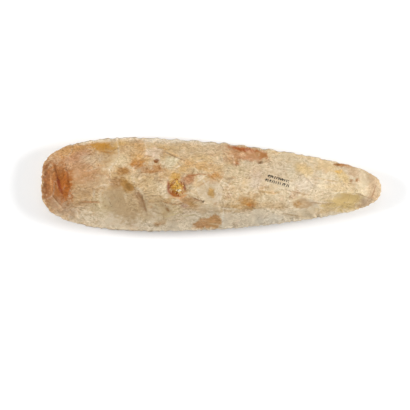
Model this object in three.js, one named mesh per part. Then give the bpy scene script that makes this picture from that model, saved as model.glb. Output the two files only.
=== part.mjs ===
// A hand axe of knapped flint, made from one stone and lying on its flatter face.
// Millimetres, +Z up. The origin is under the middle of the stone, on the surface it lies on.
// +X points to the narrow butt, -X to the broad rounded working end, and the crest runs along X.
import * as THREE from "three";
import { mergeVertices } from "three/addons/utils/BufferGeometryUtils.js";

// Driving sizes, before the flakes bite the edge back by up to a millimetre
const LENGTH = 286.4;
const WIDTH = 80;
const UPPER_RISE = 22.5; // from the edge up to the crest
const UNDER_DROP = 17; // from the edge down to the underside
const REST_DEPTH = 1.6; // how much of the underside's bulge is worn flat where the stone lies

// The outline: widest near the working end, tapering to the butt, both ends rounded
const WIDEST_X = -58;
const BUTT_SHARE = 0.345; // of the full width, where the taper would meet the tip
const WORKING_END = { from: -62, flatness: 2, roundness: 3.4 };
const BUTT_END = { from: 111, flatness: 2.7, roundness: 2.7 };

// The crest: where the flakes of the two sides meet
const CREST_SHARE = 0.86; // its length, as a share of the stone's
const CREST_BOW = { y: -13, x: 40, spread: 52 }; // it bows towards one edge here
const THICKEST_X = -22;
const THIN_END_SHARE = 0.5; // of the full thickness, left at each end of the crest
const SECTION_POWER = 1.75; // 1 is a roof, 2 is a round back
const EDGE_HEIGHT = UNDER_DROP - REST_DEPTH;
const EDGE_WAVE = 0.9; // how far a bite moves the edge up or down, per millimetre of bite
const FADING = 9; // how fast a bite and its wave die away inside the edge
const DEEPEST_SHARE = 0.6; // no flake takes more than this of the bulge

// The mesh: steps round the outline, and from the crest over the edge to the underside
const AROUND = 234;
const ACROSS = 20;

const UPPER = 1;
const UNDER = -1;

// Rows of flakes struck all round the edge. Length, half width and pitch are shares of the way
// from the edge to the crest, skew is in radians, and shortest, depth and bite are in mm.
const THINNING = {
  length: [0.6, 1.25],
  halfWidth: [0.34, 0.66],
  pitch: 0.74,
  shortest: 9,
  depth: 2.5,
  bite: 0.5,
  skew: 0.6,
};
const SHAPING = {
  length: [0.3, 0.62],
  halfWidth: [0.15, 0.34],
  pitch: 0.42,
  shortest: 7,
  depth: 1.5,
  bite: 0.6,
  skew: 0.6,
};
const RETOUCH = {
  length: [0.12, 0.26],
  halfWidth: [0.08, 0.14],
  pitch: 0.17,
  shortest: 4.5,
  depth: 0.9,
  bite: 1,
  skew: 0.4,
};

// What is left of the first, rougher flakes, well inside the edge. The place inside is a share
// of the half width, turn is in radians, and the other sizes are in mm.
const ROUGHING = {
  count: 15,
  from: -116,
  to: 122,
  inside: [0.08, 0.6],
  length: [15, 29],
  width: [10, 19],
  turn: 0.8,
  depth: 2.3,
};

// Scars with a place of their own on the upper face: middle, half length, half width, turn, depth
const UPPER_SCARS = [
  { name: "butt scar", x: 114, y: -9.5, length: 20, width: 6.5, turn: -0.05, depth: 2.6 },
  { name: "dark scar", x: -79, y: -20, length: 26, width: 22, turn: -0.5, depth: 3 },
  { name: "groove by the working end", x: -125, y: 2, length: 19, width: 5, turn: 1.5, depth: 1.6 },
  { name: "long scar under the crest", x: 30, y: -26, length: 44, width: 9, turn: 0.1, depth: 1.8 },
  { name: "scar beside the vug", x: -3, y: -5, length: 15, width: 12, turn: -0.45, depth: 2.8 },
  { name: "vug", x: -28.5, y: -2.8, length: 7.4, width: 6.6, turn: 1.2, depth: 4 },
];

// Evenly spread shares from 0 to 1: i counts the flakes of a row, and k picks the row and the size.
const GOLDEN = 0.61803398875;
const PLASTIC = 0.75487766625;
const vary = (i, k) => (i * GOLDEN + k * PLASTIC) % 1;
const between = (low, high, share) => low + (high - low) * share;

function halfWidth(x) {
  const taper = Math.max(0, (x - WIDEST_X) / (LENGTH / 2 - WIDEST_X));
  const working = Math.max(0, (WORKING_END.from - x) / (LENGTH / 2 + WORKING_END.from));
  const butt = Math.max(0, (x - BUTT_END.from) / (LENGTH / 2 - BUTT_END.from));
  return (
    (WIDTH / 2) *
    (1 - (1 - BUTT_SHARE) * taper ** 2) *
    Math.max(0, 1 - working ** WORKING_END.flatness) ** (1 / WORKING_END.roundness) *
    Math.max(0, 1 - butt ** BUTT_END.flatness) ** (1 / BUTT_END.roundness)
  );
}

// One side of the outline, from the working end's tip to the butt's
function sideCurve() {
  const steps = 600;
  const points = Array.from({ length: steps + 1 }, (_, i) => {
    const x = (-LENGTH / 2) * Math.cos((Math.PI * i) / steps);
    return new THREE.Vector2(x, i % steps ? halfWidth(x) : 0);
  });
  const curve = new THREE.SplineCurve(points);
  curve.arcLengthDivisions = 4 * steps;
  return curve;
}

const side = sideCurve();
const perimeter = 2 * side.getLength();

// The point of the outline at a share of the way round it, from the working end's tip, and the
// point of the crest that the stone slopes up to from there
function stationAt(share) {
  const wrapped = share % 1;
  const edge = side.getPointAt(wrapped <= 0.5 ? 2 * wrapped : 2 - 2 * wrapped);
  if (wrapped > 0.5) edge.y = -edge.y;
  const x = CREST_SHARE * edge.x;
  const y = CREST_BOW.y * Math.exp(-(((x - CREST_BOW.x) / CREST_BOW.spread) ** 2));
  const crest = new THREE.Vector2(x, y);
  return { share: wrapped, edge, crest, reach: edge.distanceTo(crest) };
}

// A flake scar: a shallow bowl that starts at the edge, deepest near the blow, and fades inwards
function flake(face, share, i, row) {
  const { edge, crest, reach } = stationAt(share);
  const skew = between(-row.skew, row.skew, vary(i, row.seed));
  const size = Math.min(reach, WIDTH / 2);
  return {
    face,
    share,
    start: edge,
    along: crest.clone().sub(edge).normalize().rotateAround(new THREE.Vector2(), skew),
    length: size * between(...row.length, vary(i, row.seed + 1)),
    halfWidth: size * between(...row.halfWidth, vary(i, row.seed + 2)),
    depth: row.depth * between(0.7, 1.3, vary(i, row.seed + 3)),
    bite: row.bite * between(0.4, 1.3, vary(i, row.seed + 4)),
  };
}

// A row of flakes struck one after the other, once round the edge
function flakeRow(face, row) {
  const struck = [];
  let travelled = row.first * perimeter;
  const end = travelled + perimeter;
  while (travelled < end) {
    const share = travelled / perimeter;
    struck.push(flake(face, share, struck.length, row));
    const { reach } = stationAt(share);
    const stride = row.pitch * reach * between(0.75, 1.25, vary(struck.length, row.seed + 5));
    travelled += Math.max(row.shortest, stride);
  }
  return struck;
}

// Rough scars spread along a face, on one side of the crest and the other by turns
function roughScars(face, seed) {
  const { count, from, to, inside, length, width, turn, depth } = ROUGHING;
  return Array.from({ length: count }, (_, i) => {
    const x = between(from, to, (i + vary(i, seed)) / count);
    const slender = halfWidth(x) / (WIDTH / 2);
    const leftOrRight = i % 2 ? 1 : -1;
    return {
      face,
      x,
      y: leftOrRight * halfWidth(x) * between(...inside, vary(i, seed + 1)),
      turn: leftOrRight * between(-turn, turn, vary(i, seed + 2)),
      length: between(...length, vary(i, seed + 3)),
      width: slender * between(...width, vary(i, seed + 4)),
      depth: slender * depth * between(0.7, 1.3, vary(i, seed + 5)),
    };
  });
}

const flakes = [
  ...flakeRow(UPPER, { ...THINNING, first: 0.015, seed: 1 }),
  ...flakeRow(UPPER, { ...SHAPING, first: 0.03, seed: 8 }),
  ...flakeRow(UPPER, { ...RETOUCH, first: 0.004, seed: 15 }),
  ...flakeRow(UNDER, { ...THINNING, length: [0.6, 0.85], first: 0.045, seed: 22 }),
  ...flakeRow(UNDER, { ...SHAPING, first: 0, seed: 29 }),
  ...flakeRow(UNDER, { ...RETOUCH, first: 0.009, seed: 36 }),
];

const scars = [
  ...UPPER_SCARS.map((scar) => ({ ...scar, face: UPPER })),
  ...roughScars(UPPER, 50),
  ...roughScars(UNDER, 60),
];

// The bowl's profile along a flake: nothing at the blow, deepest a third of the way, fading out
const bulb = (share) => 2.6 * Math.sqrt(share) * (1 - share);

function flakeCut(scar, x, y) {
  const dx = x - scar.start.x;
  const dy = y - scar.start.y;
  const along = (dx * scar.along.x + dy * scar.along.y) / scar.length;
  if (along <= 0 || along >= 1) return 0;
  const flare = 0.75 + 0.4 * along;
  const across = (dy * scar.along.x - dx * scar.along.y) / (scar.halfWidth * flare);
  return scar.depth * bulb(along) * (1 - across ** 2);
}

function scarCut(scar, x, y) {
  const cos = Math.cos(scar.turn);
  const sin = Math.sin(scar.turn);
  const along = ((x - scar.x) * cos + (y - scar.y) * sin) / scar.length;
  const across = ((y - scar.y) * cos - (x - scar.x) * sin) / scar.width;
  return scar.depth * (1 - along ** 2 - across ** 2);
}

// The deepest cut that any flake of a face makes at a place
function cutAt(face, x, y) {
  let deepest = 0;
  for (const scar of flakes) {
    if (scar.face === face) deepest = Math.max(deepest, flakeCut(scar, x, y));
  }
  for (const scar of scars) {
    if (scar.face === face) deepest = Math.max(deepest, scarCut(scar, x, y));
  }
  return deepest;
}

// How far a face's flakes bite the edge back at a share of the way round
function biteAt(face, share) {
  let deepest = 0;
  for (const scar of flakes) {
    if (scar.face !== face) continue;
    const apart = Math.abs(((scar.share - share + 1.5) % 1) - 0.5) * perimeter;
    deepest = Math.max(deepest, scar.bite * (1 - (apart / scar.halfWidth) ** 2));
  }
  return deepest;
}

// The stone's thickness along the crest, as a share of the greatest
function thickness(x) {
  const crestEnd = (Math.sign(x - THICKEST_X) * CREST_SHARE * LENGTH) / 2;
  const reach = crestEnd - THICKEST_X;
  return 1 - (1 - THIN_END_SHARE) * ((x - THICKEST_X) / reach) ** 2;
}

// The stone's surface at a station, at a share of the way from the crest (0) to the edge (1)
function surfacePoint(station, outwards, face) {
  const { edge, crest, reach, bite, wave } = station;
  const atEdge = outwards ** FADING;
  const bitten = outwards - (atEdge * bite) / reach;
  const x = between(crest.x, edge.x, bitten);
  const y = between(crest.y, edge.y, bitten);
  const full = face === UPPER ? UPPER_RISE : UNDER_DROP;
  const bulge = full * thickness(crest.x) * (1 - outwards ** SECTION_POWER);
  const kept = bulge - Math.min(cutAt(face, x, y), DEEPEST_SHARE * bulge);
  const z = EDGE_HEIGHT + wave * atEdge + face * kept;
  return new THREE.Vector3(x, y, Math.max(0, z));
}

// A sheet bent round the stone: one way it runs round the outline, and the other way from the
// crest over the edge to the middle of the underside. Welding its sides closes it.
function stoneGeometry() {
  const sheet = new THREE.PlaneGeometry(1, 1, AROUND, ACROSS);
  const { position, uv } = sheet.attributes;
  const stations = Array.from({ length: AROUND }, (_, i) => {
    const station = stationAt(i / AROUND);
    const above = biteAt(UPPER, station.share);
    const below = biteAt(UNDER, station.share);
    return { ...station, bite: Math.max(above, below), wave: EDGE_WAVE * (below - above) };
  });
  for (let i = 0; i < position.count; i++) {
    const station = stations[Math.round(uv.getX(i) * AROUND) % AROUND];
    const over = uv.getY(i);
    const outwards = 1 - Math.abs(2 * over - 1);
    const point = surfacePoint(station, outwards, over < 0.5 ? UPPER : UNDER);
    position.setXYZ(i, ...point);
  }
  sheet.deleteAttribute("uv");
  sheet.deleteAttribute("normal");
  return withoutSlivers(mergeVertices(sheet, 1e-3));
}

// The same mesh without the triangles that welding closed to a line
function withoutSlivers(geometry) {
  const kept = [];
  const corners = geometry.index.array;
  for (let i = 0; i < corners.length; i += 3) {
    const [a, b, c] = corners.slice(i, i + 3);
    if (a !== b && b !== c && c !== a) kept.push(a, b, c);
  }
  geometry.setIndex(kept);
  geometry.computeVertexNormals();
  return geometry;
}

const flint = new THREE.MeshStandardMaterial({ color: 0xd3b890, roughness: 0.6, metalness: 0 });

const stone = new THREE.Mesh(stoneGeometry(), flint);
stone.name = "knapped_stone";

// The bites shorten the stone unevenly, so it is moved to lie over the middle of its own box.
stone.geometry.computeBoundingBox();
const middle = stone.geometry.boundingBox.getCenter(new THREE.Vector3());
stone.position.set(-middle.x, -middle.y, 0);

const handAxe = new THREE.Group();
handAxe.add(stone);

export default handAxe;
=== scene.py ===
# %% [markdown]
# # A knapped stone hand axe
# The axe is one long piece of flint, flaked all over. A frame with the plain solid is loaded first,
# and stays where it is. Every step after that dresses it: the stone's skin is knapped flake by flake,
# then stained as the ground stained it, with painted highlight and shade along some ridges and steps, and
# last comes the light.

# %% Load the frame
import math

import bmesh
import bpy
import numpy as np
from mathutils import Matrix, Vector


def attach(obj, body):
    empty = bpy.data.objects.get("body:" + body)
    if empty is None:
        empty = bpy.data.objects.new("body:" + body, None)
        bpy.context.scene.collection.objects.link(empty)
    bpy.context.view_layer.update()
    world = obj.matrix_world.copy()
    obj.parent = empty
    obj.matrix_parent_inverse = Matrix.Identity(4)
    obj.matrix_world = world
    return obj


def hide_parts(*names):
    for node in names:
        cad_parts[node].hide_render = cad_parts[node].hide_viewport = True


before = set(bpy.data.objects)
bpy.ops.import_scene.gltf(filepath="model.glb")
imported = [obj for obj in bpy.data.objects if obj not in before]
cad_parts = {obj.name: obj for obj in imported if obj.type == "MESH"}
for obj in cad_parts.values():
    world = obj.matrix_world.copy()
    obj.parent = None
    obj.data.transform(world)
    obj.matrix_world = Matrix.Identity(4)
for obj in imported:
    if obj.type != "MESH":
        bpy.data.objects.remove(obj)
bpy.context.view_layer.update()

MM = 0.001

# %% [markdown]
# ## Wires and nodes
# Both the shape and the finish are worked out by nodes. A long sum is hard to read as a heap of
# nodes, so one small class wraps a socket and lets Python's own signs write it: `1 - mask` adds the
# Math node that it means. Everything else is added by one method, which takes a node's type, the
# values of its sockets and its settings.

# %% A socket that can be used in sums
def math_node(operation, turned_round=False):
    """A method that adds one Math node; turned round, the wire is its second value."""
    def method(self, *others):
        values = [*others, self] if turned_round else [self, *others]
        return self.nodes.add("ShaderNodeMath", values, operation=operation)
    return method


class Wire:
    """One output socket of a node tree. A sum on it adds a Math node."""

    def __init__(self, nodes, socket):
        self.nodes = nodes
        self.socket = socket

    def out(self, name):
        """Another output of the same node."""
        return Wire(self.nodes, self.socket.node.outputs[name])

    def vector(self, operation, *values):
        return self.nodes.add("ShaderNodeVectorMath", [self, *values], operation=operation)

    __add__ = __radd__ = math_node("ADD")
    __mul__ = __rmul__ = math_node("MULTIPLY")
    __sub__ = math_node("SUBTRACT")
    __rsub__ = math_node("SUBTRACT", turned_round=True)
    __truediv__ = math_node("DIVIDE")
    __pow__ = math_node("POWER")
    __gt__ = math_node("GREATER_THAN")
    __lt__ = math_node("LESS_THAN")
    max = math_node("MAXIMUM")
    min = math_node("MINIMUM")
    sine = math_node("SINE")
    size = math_node("ABSOLUTE")
    floor = math_node("FLOOR")

    def scaled(self, factor):
        """A vector made longer or shorter by a number."""
        return self.nodes.add("ShaderNodeVectorMath", {"Vector": self, "Scale": factor}, operation="SCALE")

    def ramp(self, low, high):
        """0 below low and 1 above high, smoothly in between; low may be the larger one."""
        values = {"Value": self, "From Min": low, "From Max": high}
        return self.nodes.add("ShaderNodeMapRange", values, interpolation_type="SMOOTHSTEP")


# %% A tree that nodes are added to
class Nodes:
    """Adds nodes to one tree, of a material or of geometry."""

    def __init__(self, tree):
        self.tree = tree

    def set(self, socket, value):
        if isinstance(value, Wire):
            self.tree.links.new(value.socket, socket)
        else:
            socket.default_value = value

    def add(self, kind, values=(), **settings):
        """A node of a type. Its settings are made first, then its sockets, by place or by name."""
        node = self.tree.nodes.new(kind)
        for name, value in settings.items():
            setattr(node, name, value)
        shown = [socket for socket in node.inputs if socket.enabled]
        if isinstance(values, dict):
            by_name = {socket.name: socket for socket in reversed(shown)}
            pairs = [(by_name[name], value) for name, value in values.items()]
        else:
            pairs = zip(shown, values)
        for socket, value in pairs:
            self.set(socket, value)
        outputs = [socket for socket in node.outputs if socket.enabled]
        return Wire(self, outputs[0]) if outputs else node

    def mix(self, factor, first, second, kind="RGBA", blend="MIX"):
        values = {"Factor": factor, "A": first, "B": second}
        return self.add("ShaderNodeMix", values, data_type=kind, blend_type=blend)

    def noise(self, place, size, seed=0, detail=3, rough=0.55):
        """A cloudy value around 0.5, whose clouds are about this size across, in mm."""
        shifted = place.vector("ADD", (seed, -seed, seed / 2))
        values = {"Vector": shifted, "Scale": 1 / (size * MM), "Detail": detail, "Roughness": rough}
        return self.add("ShaderNodeTexNoise", values)

    def clouds(self, place, size, seed, low, high, **habits):
        """1 inside the clouds of a noise and 0 between them."""
        return self.noise(place, size, seed, **habits).ramp(low, high)

    def cells(self, place, size, seed=0):
        """The distance to the nearest of many scattered points, about this far apart in mm."""
        shifted = place.vector("ADD", (seed, seed, seed))
        return self.add("ShaderNodeTexVoronoi", {"Vector": shifted, "Scale": 1 / (size * MM)})

    def split(self, vector):
        parts = self.add("ShaderNodeSeparateXYZ", [vector])
        return parts.out("X"), parts.out("Y"), parts.out("Z")

    def join(self, x, y, z=0.0):
        return self.add("ShaderNodeCombineXYZ", [x, y, z])


# %% Geometry trees: their sockets, their attributes, and using them on an object
VECTOR = "FLOAT_VECTOR"


def geometry_tree(name, inputs):
    """A geometry tree with named inputs, and the wires of those inputs by name."""
    tree = bpy.data.node_groups.new(name, "GeometryNodeTree")
    for label, kind in {"Geometry": "Geometry", **inputs}.items():
        tree.interface.new_socket(label, in_out="INPUT", socket_type="NodeSocket" + kind)
    tree.interface.new_socket("Geometry", in_out="OUTPUT", socket_type="NodeSocketGeometry")
    nodes = Nodes(tree)
    start = nodes.add("NodeGroupInput")
    return nodes, {label: start.out(label) for label in ["Geometry", *inputs]}


def drift(nodes, place, size, **habits):
    """A vector around 0, from noise."""
    return nodes.noise(place, size, **habits).out("Color").vector("SUBTRACT", (0.5, 0.5, 0.5))


def position(nodes):
    return nodes.add("GeometryNodeInputPosition")


def named(nodes, name, kind="FLOAT"):
    """What an attribute holds at each point."""
    return nodes.add("GeometryNodeInputNamedAttribute", {"Name": name}, data_type=kind)


def store(nodes, geometry, name, value, where=True):
    """Stores an attribute at the points, a vector if the value is one."""
    kind = VECTOR if value.socket.type == "VECTOR" else "FLOAT"
    values = {"Geometry": geometry, "Selection": where, "Name": name, "Value": value}
    return nodes.add("GeometryNodeStoreNamedAttribute", values, data_type=kind, domain="POINT")


def for_each_point(nodes, geometry, listed, step):
    """Runs step(nodes, geometry, read) for each point of a list, each on the last one's geometry.

    The list is an object made of points, and read(name) is the vector that its current point holds.
    """
    points = nodes.add("GeometryNodeObjectInfo", {"Object": listed}).out("Geometry")
    count = nodes.add("GeometryNodeAttributeDomainSize", {"Geometry": points}, component="MESH")
    start = nodes.tree.nodes.new("GeometryNodeRepeatInput")
    end = nodes.tree.nodes.new("GeometryNodeRepeatOutput")
    start.pair_with_output(end)
    nodes.set(start.inputs["Iterations"], count.out("Point Count"))
    nodes.set(start.inputs["Geometry"], geometry)

    def read(name):
        number = Wire(nodes, start.outputs["Iteration"])
        values = {"Geometry": points, "Value": named(nodes, name, VECTOR), "Index": number}
        return nodes.add("GeometryNodeSampleIndex", values, data_type=VECTOR, domain="POINT")

    nodes.set(end.inputs["Geometry"], step(nodes, Wire(nodes, start.outputs["Geometry"]), read))
    return Wire(nodes, end.outputs["Geometry"])


def finish_tree(nodes, geometry, material):
    """Every tree ends in Realize Instances and Set Material."""
    real = nodes.add("GeometryNodeRealizeInstances", {"Geometry": geometry})
    painted = nodes.add("GeometryNodeSetMaterial", {"Geometry": real, "Material": material})
    nodes.add("NodeGroupOutput", {"Geometry": painted})
    return nodes


def run_tree(obj, nodes, values):
    """Runs a tree on an object and keeps the result as its plain mesh."""
    modifier = obj.modifiers.new(nodes.tree.name, "NODES")
    modifier.node_group = nodes.tree
    for item in nodes.tree.interface.items_tree:
        if item.in_out == "INPUT" and item.name in values:
            modifier[item.identifier] = values[item.name]
    seen = obj.evaluated_get(bpy.context.evaluated_depsgraph_get())
    mesh = bpy.data.meshes.new_from_object(seen)
    obj.modifiers.remove(modifier)
    obj.data = mesh


# %% Objects, materials and colours
def new_object(name, data):
    obj = bpy.data.objects.new(name, data)
    bpy.context.scene.collection.objects.link(obj)
    return obj


def new_material(name):
    """A material, and the nodes that it is made of."""
    material = bpy.data.materials.new(name)
    material.use_nodes = True
    return material, Nodes(material.node_tree)


def attribute(nodes, name, output="Fac"):
    """What an attribute holds at each place of a surface, for a material."""
    return nodes.add("ShaderNodeAttribute", attribute_name=name).out(output)


def finish_material(nodes, values):
    """Sets the sockets of the material's shader, by name."""
    for name, value in values.items():
        nodes.set(nodes.tree.nodes["Principled BSDF"].inputs[name], value)


# Colours are written as they look on the stone. The studio is this bright, and the gloss adds some white.
STUDIO_LIGHT = 1.12
GLOSS_WHITE = 0.02
DARKEST = 0.01


def paint(code):
    """The finish that looks like the sRGB colour #rrggbb: linear red, green, blue and alpha."""
    parts = [int(code[i:i + 2], 16) / 255 for i in (1, 3, 5)]
    linear = [p / 12.92 if p <= 0.04045 else ((p + 0.055) / 1.055) ** 2.4 for p in parts]
    return (*[max(DARKEST, (p - GLOSS_WHITE) / STUDIO_LIGHT) for p in linear], 1.0)


# %% [markdown]
# ## The blank
# A knapper starts from a long slab and first rounds its outline. Here the outline is a width that
# depends on the place along the stone: broad and blunt at the working end, narrow at the butt. A
# crest runs along the middle of each face. The surface is a sheet of points bent round the stone:
# round the outline one way, and from the crest over the edge to the underside the other way. That
# keeps the points close together at the edge, where the flakes are smallest.

# %% Sizes of the blank
LENGTH = 286.4 * MM
WIDTH = 80 * MM
UPPER_RISE = 22.5 * MM
UNDER_DROP = 17 * MM
REST_DEPTH = 1.6 * MM
EDGE_HEIGHT = UNDER_DROP - REST_DEPTH
WIDEST_X = -58 * MM
BUTT_SHARE = 0.345
WORKING_FROM, WORKING_FLATNESS, WORKING_ROUNDNESS = -62 * MM, 2, 3.4
BUTT_FROM, BUTT_FLATNESS, BUTT_ROUNDNESS = 111 * MM, 2.7, 2.7
CREST_SHARE = 0.86
BOW_Y, BOW_X, BOW_SPREAD = -13 * MM, 40 * MM, 52 * MM
THICKEST_X = -22 * MM
THIN_END_SHARE = 0.5
SECTION_POWER = 1.75
EDGE_WAVE, FADING = 0.9, 9
OUTLINE_POINTS = 2401
AROUND, ACROSS = 880, 112
UPPER, UNDER = 1, -1


def half_width(x):
    taper = np.maximum(0, (x - WIDEST_X) / (LENGTH / 2 - WIDEST_X))
    working = np.maximum(0, (WORKING_FROM - x) / (LENGTH / 2 + WORKING_FROM))
    butt = np.maximum(0, (x - BUTT_FROM) / (LENGTH / 2 - BUTT_FROM))
    blunt = np.maximum(0, 1 - working ** WORKING_FLATNESS) ** (1 / WORKING_ROUNDNESS)
    narrow = np.maximum(0, 1 - butt ** BUTT_FLATNESS) ** (1 / BUTT_ROUNDNESS)
    return WIDTH / 2 * (1 - (1 - BUTT_SHARE) * taper ** 2) * blunt * narrow


# %% A walk round the outline
turned = np.linspace(0, math.pi, OUTLINE_POINTS)
side_x = -LENGTH / 2 * np.cos(turned)
side_y = half_width(side_x)
side_y[[0, -1]] = 0
walked = np.concatenate([[0], np.cumsum(np.hypot(np.diff(side_x), np.diff(side_y)))])
PERIMETER = 2 * walked[-1]


def station(share):
    """The edge at a share of the way round it, the crest above it, and the way between the two."""
    share = np.asarray(share, float) % 1
    way = np.where(share <= 0.5, 2 * share, 2 - 2 * share) * walked[-1]
    edge_x = np.interp(way, walked, side_x)
    edge_y = np.interp(way, walked, side_y) * np.where(share > 0.5, -1, 1)
    crest_x = CREST_SHARE * edge_x
    crest_y = BOW_Y * np.exp(-(((crest_x - BOW_X) / BOW_SPREAD) ** 2))
    edge = np.stack([edge_x, edge_y], -1)
    crest = np.stack([crest_x, crest_y], -1)
    return edge, crest, np.linalg.norm(edge - crest, axis=-1)


print(f"outline: {PERIMETER / MM:.0f} mm round")

# %% [markdown]
# ## The flakes
# Each flake leaves a shallow bowl that starts at the edge, where the blow fell, and runs inwards. A
# knapper works in rows: long thinning flakes, shorter shaping flakes between them, and small
# retouch along the edge. Inside them lie the remains of the first, rougher flakes. The sizes vary
# by shares that are spread evenly, so the same stone comes out every time.

# %% Rows of flakes
# Length, half width and pitch are shares of the way from the edge to the crest. The shortest pitch,
# the depth and the bite off the edge are in mm, and the skew is in radians.
THINNING = dict(length=(0.6, 1.25), half_width=(0.34, 0.66), pitch=0.74,
                shortest=9, depth=2.5, bite=0.5, skew=0.6)
SHAPING = dict(length=(0.3, 0.62), half_width=(0.15, 0.34), pitch=0.42,
               shortest=7, depth=1.5, bite=1.0, skew=0.6)
RETOUCH = dict(length=(0.12, 0.26), half_width=(0.08, 0.14), pitch=0.17,
               shortest=4.5, depth=0.9, bite=1.2, skew=0.4)
NIBBLING = dict(length=(0.05, 0.11), half_width=(0.03, 0.06), pitch=0.07,
                shortest=1.8, depth=0.4, bite=0.45, skew=0.5)
DEPTH_SPREAD, BITE_SPREAD, PITCH_SPREAD = (0.7, 1.3), (0.4, 1.3), (0.75, 1.25)
FLAKE, BOWL, STEP = 0, 1, 2
GOLDEN, PLASTIC = 0.61803398875, 0.75487766625


def vary(i, k):
    """A share from 0 to 1, spread evenly over the numbers i, in another order for each k."""
    return (i * GOLDEN + k * PLASTIC) % 1


def between(low, high, share):
    return low + (high - low) * share


def flake_row(face, row, first, seed):
    """Flakes struck one after the other, once round the edge."""
    struck = []
    travelled = first * PERIMETER
    end = travelled + PERIMETER
    while travelled < end:
        i = len(struck)
        share = travelled / PERIMETER
        edge, crest, reach = station(share)
        skew = between(-row["skew"], row["skew"], vary(i, seed))
        in_x, in_y = (crest - edge) / reach
        cos, sin = math.cos(skew), math.sin(skew)
        size = min(reach, WIDTH / 2)
        struck.append(dict(
            face=face, kind=FLAKE, share=share, start=edge,
            along=np.array([in_x * cos - in_y * sin, in_x * sin + in_y * cos]),
            length=size * between(*row["length"], vary(i, seed + 1)),
            half_width=size * between(*row["half_width"], vary(i, seed + 2)),
            depth=row["depth"] * MM * between(*DEPTH_SPREAD, vary(i, seed + 3)),
            bite=row["bite"] * MM * between(*BITE_SPREAD, vary(i, seed + 4)),
        ))
        stride = row["pitch"] * reach * between(*PITCH_SPREAD, vary(i + 1, seed + 5))
        travelled += max(row["shortest"] * MM, stride)
    return struck


def bowl(x, y, length, width, turn, depth, colour=None, texture=None, kind=BOWL, face=UPPER):
    """A scar inside the edge: its middle, half length, half width and depth in mm, and its turn.

    The texture is 0 where the scar is calm and 1 where it is rough; without one it is left to chance.
    """
    return dict(
        face=face, kind=kind, start=np.array([x, y]) * MM, along=np.array([math.cos(turn), math.sin(turn)]),
        length=length * MM, half_width=width * MM, depth=depth * MM, colour=colour, texture=texture)


# %% What is left of the first, rougher flakes
ROUGH_COUNT, ROUGH_FROM, ROUGH_TO = 15, -116, 122
ROUGH_LENGTH, ROUGH_WIDTH, ROUGH_DEPTH, ROUGH_TURN = (15, 29), (10, 19), 2.3, 0.8
ROUGH_INSIDE = (0.08, 0.6)


def rough_scars(face, seed):
    scars = []
    for i in range(ROUGH_COUNT):
        x = between(ROUGH_FROM, ROUGH_TO, (i + vary(i, seed)) / ROUGH_COUNT)
        wide = float(half_width(x * MM)) / MM
        slender = wide / (WIDTH / MM / 2)
        side = 1 if i % 2 else -1
        scars.append(bowl(
            x, side * wide * between(*ROUGH_INSIDE, vary(i, seed + 1)),
            between(*ROUGH_LENGTH, vary(i, seed + 3)),
            slender * between(*ROUGH_WIDTH, vary(i, seed + 4)),
            side * between(-ROUGH_TURN, ROUGH_TURN, vary(i, seed + 2)),
            slender * ROUGH_DEPTH * between(*DEPTH_SPREAD, vary(i, seed + 5)),
            face=face,
        ))
    return scars


# %% Teeth of the far edge
# Between two teeth the edge was nibbled back: the middle of each notch and its half width, in mm
NOTCHES = [(-36, 7), (-21.5, 6.5), (-7, 6.5), (5.3, 4.2), (17.5, 7), (31.3, 5.4), (43, 5.6), (56, 6)]
NOTCH_LENGTH, NOTCH_DEPTH, NOTCH_BITE = 9 * MM, 1.1 * MM, 1.9 * MM


def notch(x, half):
    """A small flake off the far edge, at a place along the stone."""
    share = float(np.interp(x * MM, side_x, walked)) / PERIMETER
    edge, crest, reach = station(share)
    return dict(face=UPPER, kind=FLAKE, share=share, start=edge, along=(crest - edge) / reach,
                length=NOTCH_LENGTH, half_width=half * MM, depth=NOTCH_DEPTH, bite=NOTCH_BITE)


# %% Every scar of the stone
VUG = dict(x=-28.5, y=-2.8, length=7.4, width=6.6, turn=1.2, depth=4)
edge_flakes = [
    *flake_row(UPPER, THINNING, 0.015, 1),
    *flake_row(UPPER, SHAPING, 0.03, 8),
    *flake_row(UPPER, RETOUCH, 0.004, 15),
    *flake_row(UNDER, {**THINNING, "length": (0.6, 0.85)}, 0.045, 22),
    *flake_row(UNDER, SHAPING, 0, 29),
    *flake_row(UNDER, RETOUCH, 0.009, 36),
    *flake_row(UPPER, NIBBLING, 0.001, 43),
    *flake_row(UNDER, NIBBLING, 0.002, 47),
    *[notch(x, half) for x, half in NOTCHES],
]
named_scars = [
    bowl(114, -9.5, 20, 6.5, -0.05, 2.6, "#d0b27c", texture=0),  # the olive scar at the butt
    bowl(-79, -20, 26, 22, -0.5, 3, texture=0),  # the dark scar
    bowl(-125, 2, 19, 5, 1.5, 1.6, texture=0.8),  # the groove by the working end
    bowl(30, -26, 44, 9, 0.1, 1.8, texture=0.15),  # the long scar under the crest
    bowl(-3, -5, 15, 12, -0.45, 2.8, "#d9c3a3", texture=0.1),  # the scar beside the vug
    bowl(**VUG, colour="#c9984f"),
    bowl(-6.5, -13.5, 1.7, 1.3, 0, 3.6, "#5c3b25"),  # a pit on the crest
    bowl(-27, 34, 13, 10, -2.0, 1.3, kind=STEP),  # a flake that broke off short
    bowl(75, -13, 8, 5, -0.1, 2.6, "#bf9d72"),  # small scars along the crest
    bowl(-1, -30, 12, 6, 0.1, 2.9),
    bowl(-0.5, -4.5, 5, 2.8, 1.9, 3.3),
    bowl(-68, -3, 6.5, 4.2, -0.75, 3.1),
    bowl(31, -14, 7, 4, -0.2, 2.4),
    bowl(-35, 12, 9, 5, 0.5, 2.0),
    bowl(33, 27, 17, 6.5, -0.12, 2.2),
]
scars = [*edge_flakes, *named_scars, *rough_scars(UPPER, 50), *rough_scars(UNDER, 60)]
print("scars:", len(scars), "of which struck from the edge:", len(edge_flakes))


# %% The list of scars as points
def texture_of(i, scar):
    chosen = scar.get("texture")
    return vary(i, 3) if chosen is None else chosen


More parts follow.
